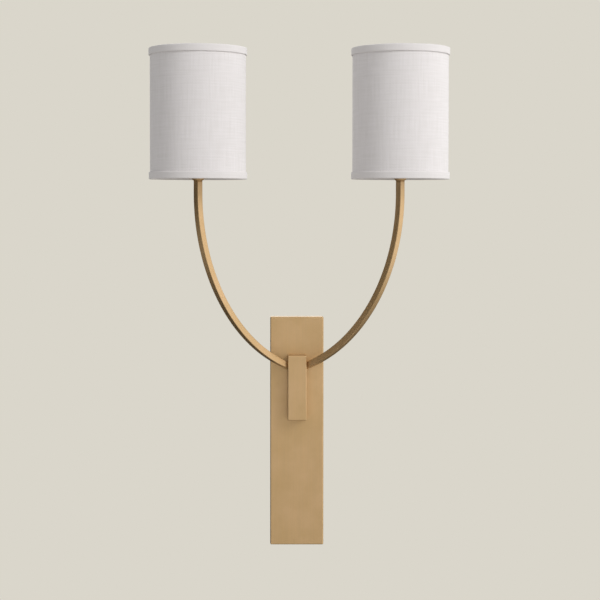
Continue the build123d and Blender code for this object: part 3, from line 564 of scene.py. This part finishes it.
def woven_linen(name, light, dark, slub_share):
    """Linen cloth on the piece's own UV map, which runs in metres round and up the drum."""
    material, tree, shader, place_mm = new_finish(name, Roughness=0.85, Sheen_Weight=0.12,
                                                  Sheen_Roughness=0.4, Diffuse_Roughness=0.5)
    cloth = add(tree, "ShaderNodeUVMap", uv_map="cloth")
    cloth_mm = add(tree, "ShaderNodeVectorMath", cloth.outputs[0], operation="SCALE",
                   named={"Scale": 1 / MM})
    slubs = []
    for stretch in ((SLUB_W_MM, SLUB_LENGTH_MM), (SLUB_LENGTH_MM, SLUB_W_MM)):
        lines = add(tree, "ShaderNodeMapping", cloth_mm.outputs[0],
                    named={"Scale": (1 / stretch[0], 1 / stretch[1], 1.0)})
        yarn = add(tree, "ShaderNodeTexNoise", lines.outputs[0],
                   named={"Scale": 1.0, "Detail": 2.0, "Roughness": 0.55})
        slubs.append(add(tree, "ShaderNodeMapRange", yarn.outputs[0], *NOISE_SPAN).outputs[0])
    both_slubs = add(tree, "ShaderNodeMath", slubs[0], slubs[1], operation="ADD")
    cell = add(tree, "ShaderNodeVectorMath", cloth_mm.outputs[0], operation="SCALE",
               named={"Scale": pi / THREAD_MM})
    across = add(tree, "ShaderNodeSeparateXYZ", cell.outputs[0])
    warp = add(tree, "ShaderNodeMath", across.outputs["X"], operation="SINE")
    weft = add(tree, "ShaderNodeMath", across.outputs["Y"], operation="SINE")
    weave = add(tree, "ShaderNodeMath", warp.outputs[0], weft.outputs[0], operation="MULTIPLY")
    raised = add(tree, "ShaderNodeMath", weave.outputs[0], WEAVE_SHARE, both_slubs.outputs[0],
                 operation="MULTIPLY_ADD")
    shade_share = add(tree, "ShaderNodeMapRange", raised.outputs[0], *RAISED_SPAN, slub_share, 0.0)
    mix = add(tree, "ShaderNodeMix", shade_share.outputs[0], data_type="RGBA",
              named={MIX_A: linear(light), MIX_B: linear(dark)})
    relief = add(tree, "ShaderNodeBump",
                 named={"Strength": 0.35, "Distance": CLOTH_RELIEF_MM * MM, "Height": raised.outputs[0]})
    tree.links.new(mix.outputs[MIX_RESULT], shader.inputs["Base Color"])
    tree.links.new(relief.outputs[0], shader.inputs["Normal"])
    return material


linen = woven_linen("plain_weave_linen", LINEN, LINEN_SHADE, LINEN_SLUBS)
backing = moulded("white_styrene_backing", "F1EFEA", "EAE7E1", 0.6, 3.0)


def lap(run):
    """Height of the lapped end above the drum, run millimetres round from its free edge."""
    fade = min(max((run - LAP_W) / LAP_W, 0.0), 1.0)
    return LAP_STEP * (1 - fade * fade * (3 - 2 * fade)) if run > 0 else 0.0


def drum(name, section, axis, lap_from, materials, outside_rows, seed, sway, wave):
    """Rolls a closed section of (radius, height) points round an axis. Points further out than
    lap_from stand out at the lap. The first outside_rows rows have the first material, the others
    the last. sway and wave are the hand-made unevenness in radius and in height, in millimetres,
    and seed makes it differ by piece."""
    edge = LAP_EDGE / COVER_R
    angles = [0.0, edge] + [edge + (2 * pi - edge) * i / COLUMNS for i in range(1, COLUMNS)]
    points, faces, places = [], [], []
    rows = len(section)
    for angle in angles:
        way = Vector((cos(SEAM_AT + angle), sin(SEAM_AT + angle), 0))
        for radius, height in section:
            drift = noise.noise(way * DRIFT_TURNS + Vector((seed, height / DRIFT_RISE, 0)))
            ripple = noise.noise(way * RIPPLE_TURNS + Vector((0, seed, RIPPLE_START)))
            stand = lap(angle * COVER_R) if radius > lap_from else 0.0
            reach = (radius + stand + sway * drift) * MM
            points.append(axis + way * reach + Vector((0, 0, (height + wave * ripple) * MM)))
    lengths = [0.0]
    for (r0, z0), (r1, z1) in zip(section, section[1:] + section[:1]):
        lengths.append(lengths[-1] + ((r1 - r0) ** 2 + (z1 - z0) ** 2) ** 0.5)
    turns = angles + [2 * pi]
    for i in range(len(angles)):
        for j in range(rows):
            a, b = i * rows + j, i * rows + (j + 1) % rows
            c, d = (a + rows) % len(points), (b + rows) % len(points)
            faces.append((a, c, d, b))
            for turn, run in ((turns[i], j), (turns[i + 1], j), (turns[i + 1], j + 1), (turns[i], j + 1)):
                places.append((turn * COVER_R * MM, lengths[run] * MM))
    mesh = bpy.data.meshes.new(name)
    mesh.from_pydata(points, [], faces)
    cloth = mesh.uv_layers.new(name="cloth")
    for loop, place in zip(cloth.data, places):
        loop.uv = place
    for material in materials:
        mesh.materials.append(material)
    for number, face in enumerate(mesh.polygons):
        face.use_smooth = True
        face.material_index = 0 if number % rows < outside_rows else len(materials) - 1
    made = bpy.data.objects.new(name, mesh)
    scene.collection.objects.link(made)
    return made


covers = {}
for side, sign in SIDES.items():
    low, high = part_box(f"shade_cover_{side}")
    bottom, top = low.z / MM, high.z / MM
    heights = [bottom + (top - bottom) * i / COVER_ROWS for i in range(COVER_ROWS + 1)]
    section = [(COVER_R, z) for z in heights] + [(COVER_R - COVER_T, z) for z in reversed(heights)]
    covers[side] = drum(f"linen_drum_{side}", section, shade_axis[side], lap_from=COVER_R - COVER_T / 2,
                        materials=(linen, backing), outside_rows=COVER_ROWS, seed=5.0 * sign,
                        sway=0.10, wave=0.0)
    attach(covers[side], f"shade_{side}")
    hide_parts(f"shade_cover_{side}")


# ------------------------------------------------------------------ shade trims
# A strip of the same linen, its edges turned in, is glued over each end of the drum and folded
# round the hoop to the inside. It stands proud with a soft rolled lip, and its own end laps at
# the seam.
TRIM_OUT = 1.3
TRIM_H = 7.4
TRIM_TOP_T = 1.0
TRIM_IN_R = 45.2
TRIM_IN_T = 0.75
TRIM_IN_H = 5.0
LIP_R = 0.6
FOOT_R = 0.9
TAPE = "ECE8E7"
TAPE_SHADE = "E4E0DE"
TAPE_SLUBS = 0.5
trim_linen = woven_linen("folded_linen_tape", TAPE, TAPE_SHADE, TAPE_SLUBS)


def corner(radius, depth, size, start):
    """Points of a quarter turn that rounds one corner of the tape's section."""
    turns = [start + i * pi / 2 / CORNER_STEPS for i in range(CORNER_STEPS + 1)]
    return [(radius + size * cos(t), depth + size * sin(t)) for t in turns]


# The tape's section, as radius and depth in from the end of the shade: along the outside to the
# end, round it to the turned-in edge inside, and back along the cover's end and its outside.
trim_out_r = COVER_R + TRIM_OUT
turn_in_r = TRIM_IN_R + TRIM_IN_T
tape = [
    *corner(trim_out_r - LIP_R, TRIM_H - LIP_R, LIP_R, 0.0)[::-1],
    (trim_out_r + 0.08, TRIM_H * 0.72),
    (trim_out_r - 0.05, TRIM_H * 0.5),
    (trim_out_r, TRIM_H * 0.28),
    *corner(trim_out_r - FOOT_R, FOOT_R, FOOT_R, -pi / 2)[::-1],
    (COVER_R - 1.2, 0.02),
    (TRIM_IN_R + 1.2, 0.0),
    (TRIM_IN_R + 0.45, 0.2),
    (TRIM_IN_R + 0.1, 0.7),
    (TRIM_IN_R, 1.4),
    (TRIM_IN_R, TRIM_IN_H - 0.5),
    (TRIM_IN_R + 0.12, TRIM_IN_H - 0.1),
    (TRIM_IN_R + TRIM_IN_T / 2, TRIM_IN_H),
    (turn_in_r - 0.08, TRIM_IN_H - 0.15),
    (turn_in_r, TRIM_IN_H - 0.6),
    (turn_in_r, 1.5),
    (turn_in_r + 0.2, TRIM_TOP_T + 0.05),
    (turn_in_r + 0.8, TRIM_TOP_T - 0.02),
    (COVER_R - 0.4, TRIM_TOP_T - 0.02),
    (COVER_R + 0.01, TRIM_TOP_T + 0.3),
    (COVER_R + 0.01, TRIM_H - 0.5),
]
trims = {}
for side, sign in SIDES.items():
    for end, edge_z, way in (("top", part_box(f"shade_trim_top_{side}")[1].z / MM, -1),
                             ("bottom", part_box(f"shade_trim_bottom_{side}")[0].z / MM, 1)):
        section = [(radius, edge_z + way * depth) for radius, depth in tape]
        if way > 0:
            section.reverse()
        trims[side, end] = drum(f"folded_trim_{end}_{side}", section, shade_axis[side],
                                lap_from=COVER_R + 0.5, materials=(trim_linen,),
                                outside_rows=len(section), seed=2.0 * sign + way, sway=0.05, wave=0.12)
        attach(trims[side, end], f"shade_{side}")
        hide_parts(f"shade_trim_{end}_{side}")


# ------------------------------------------------------------------ studio
# A plain pale floor well below the light and a plain pale sky. A large soft lamp stands high on the
# right, with weak ones at the side, in front and behind, and one low on the right that only shine
# sees. Three dark cards, which only shine sees too, keep the left and lower sides of the metal deep.
FLOOR_DROP = 1.5
FLOOR_R = 2.2
FLOOR_SIDES = 96
PALE = "DAD6CB"
CARD_DARK = "202020"
LEVEL = 0.42                 # strength of the sky on matt surfaces

world = bpy.data.worlds.new("studio")
scene.world = world
world.use_nodes = True
tree = world.node_tree
tree.nodes.clear()
rays = add(tree, "ShaderNodeLightPath")
seen = add(tree, "ShaderNodeMath", rays.outputs["Is Camera Ray"], rays.outputs["Is Glossy Ray"],
           operation="MAXIMUM")
seen_through = add(tree, "ShaderNodeMath", seen.outputs[0], rays.outputs["Is Transmission Ray"],
                   operation="MAXIMUM")
matt_sky = add(tree, "ShaderNodeBackground", (1, 1, 1, 1), LEVEL)
pale_sky = add(tree, "ShaderNodeBackground", linear(PALE), 1.0)
sky = add(tree, "ShaderNodeMixShader", seen_through.outputs[0], matt_sky.outputs[0], pale_sky.outputs[0])
add(tree, "ShaderNodeOutputWorld", sky.outputs[0])
scene.view_settings.view_transform = "Standard"


def lamp(name, place, aim, width, height, watts):
    """A soft white rectangular lamp at a place, pointing at an aim."""
    light = bpy.data.lights.new(name, "AREA")
    light.shape = "RECTANGLE"
    light.size = width
    light.size_y = height
    light.energy = watts
    holder = bpy.data.objects.new(name, light)
    holder.location = place
    holder.rotation_euler = (Vector(aim) - Vector(place)).to_track_quat("-Z", "Y").to_euler()
    scene.collection.objects.link(holder)
    return holder


lamp("key_lamp", (1.74, -1.60, 1.56), (0, -0.1, 0.2), 1.0, 1.0, 40)
lamp("side_lamp", (2.5, -0.40, 0.20), (0, -0.1, 0.15), 1.2, 1.6, 7)
lamp("front_lamp", (-0.3, -2.7, 0.7), (0, -0.1, 0.1), 1.6, 1.4, 5)
lamp("back_lamp", (-0.5, 2.0, 0.9), (0, 0, 0.2), 1.6, 1.6, 9)
gleam = lamp("gleam_lamp", (1.8, -0.10, -0.75), (0, -0.1, 0.1), 0.8, 0.8, 3)
gleam.visible_diffuse = False


def stage_piece(name, points, colour):
    """A flat matt piece of the studio."""
    mesh = bpy.data.meshes.new(name)
    mesh.from_pydata(points, [], [range(len(points))])
    made = bpy.data.objects.new(name, mesh)
    scene.collection.objects.link(made)
    paint = new_finish(f"matt_{name}", Base_Color=linear(colour), Roughness=0.95)[0]
    mesh.materials.append(paint)
    return made


round_floor = [2 * pi * i / FLOOR_SIDES for i in range(FLOOR_SIDES)]
stage_piece("floor", [(FLOOR_R * cos(t), FLOOR_R * sin(t), -FLOOR_DROP) for t in round_floor], PALE)
CARDS = {
    "upper_left_card": [(-0.8, -1.6, 0.05), (-0.8, 0.8, 0.05), (-0.8, 0.8, 1.3), (-0.8, -1.6, 1.3)],
    "lower_left_card": [(-0.9, -1.6, -1.4), (-0.9, 0.7, -1.4), (-0.9, 0.7, -0.3), (-0.9, -1.6, -0.3)],
    "low_back_card": [(-1.3, 0.45, -1.4), (1.3, 0.45, -1.4), (1.3, 0.45, 0.0), (-1.3, 0.45, 0.0)],
}
for name, points in CARDS.items():
    card = stage_piece(name, points, CARD_DARK)
    card.visible_camera = False
    card.visible_diffuse = False
    card.visible_shadow = False
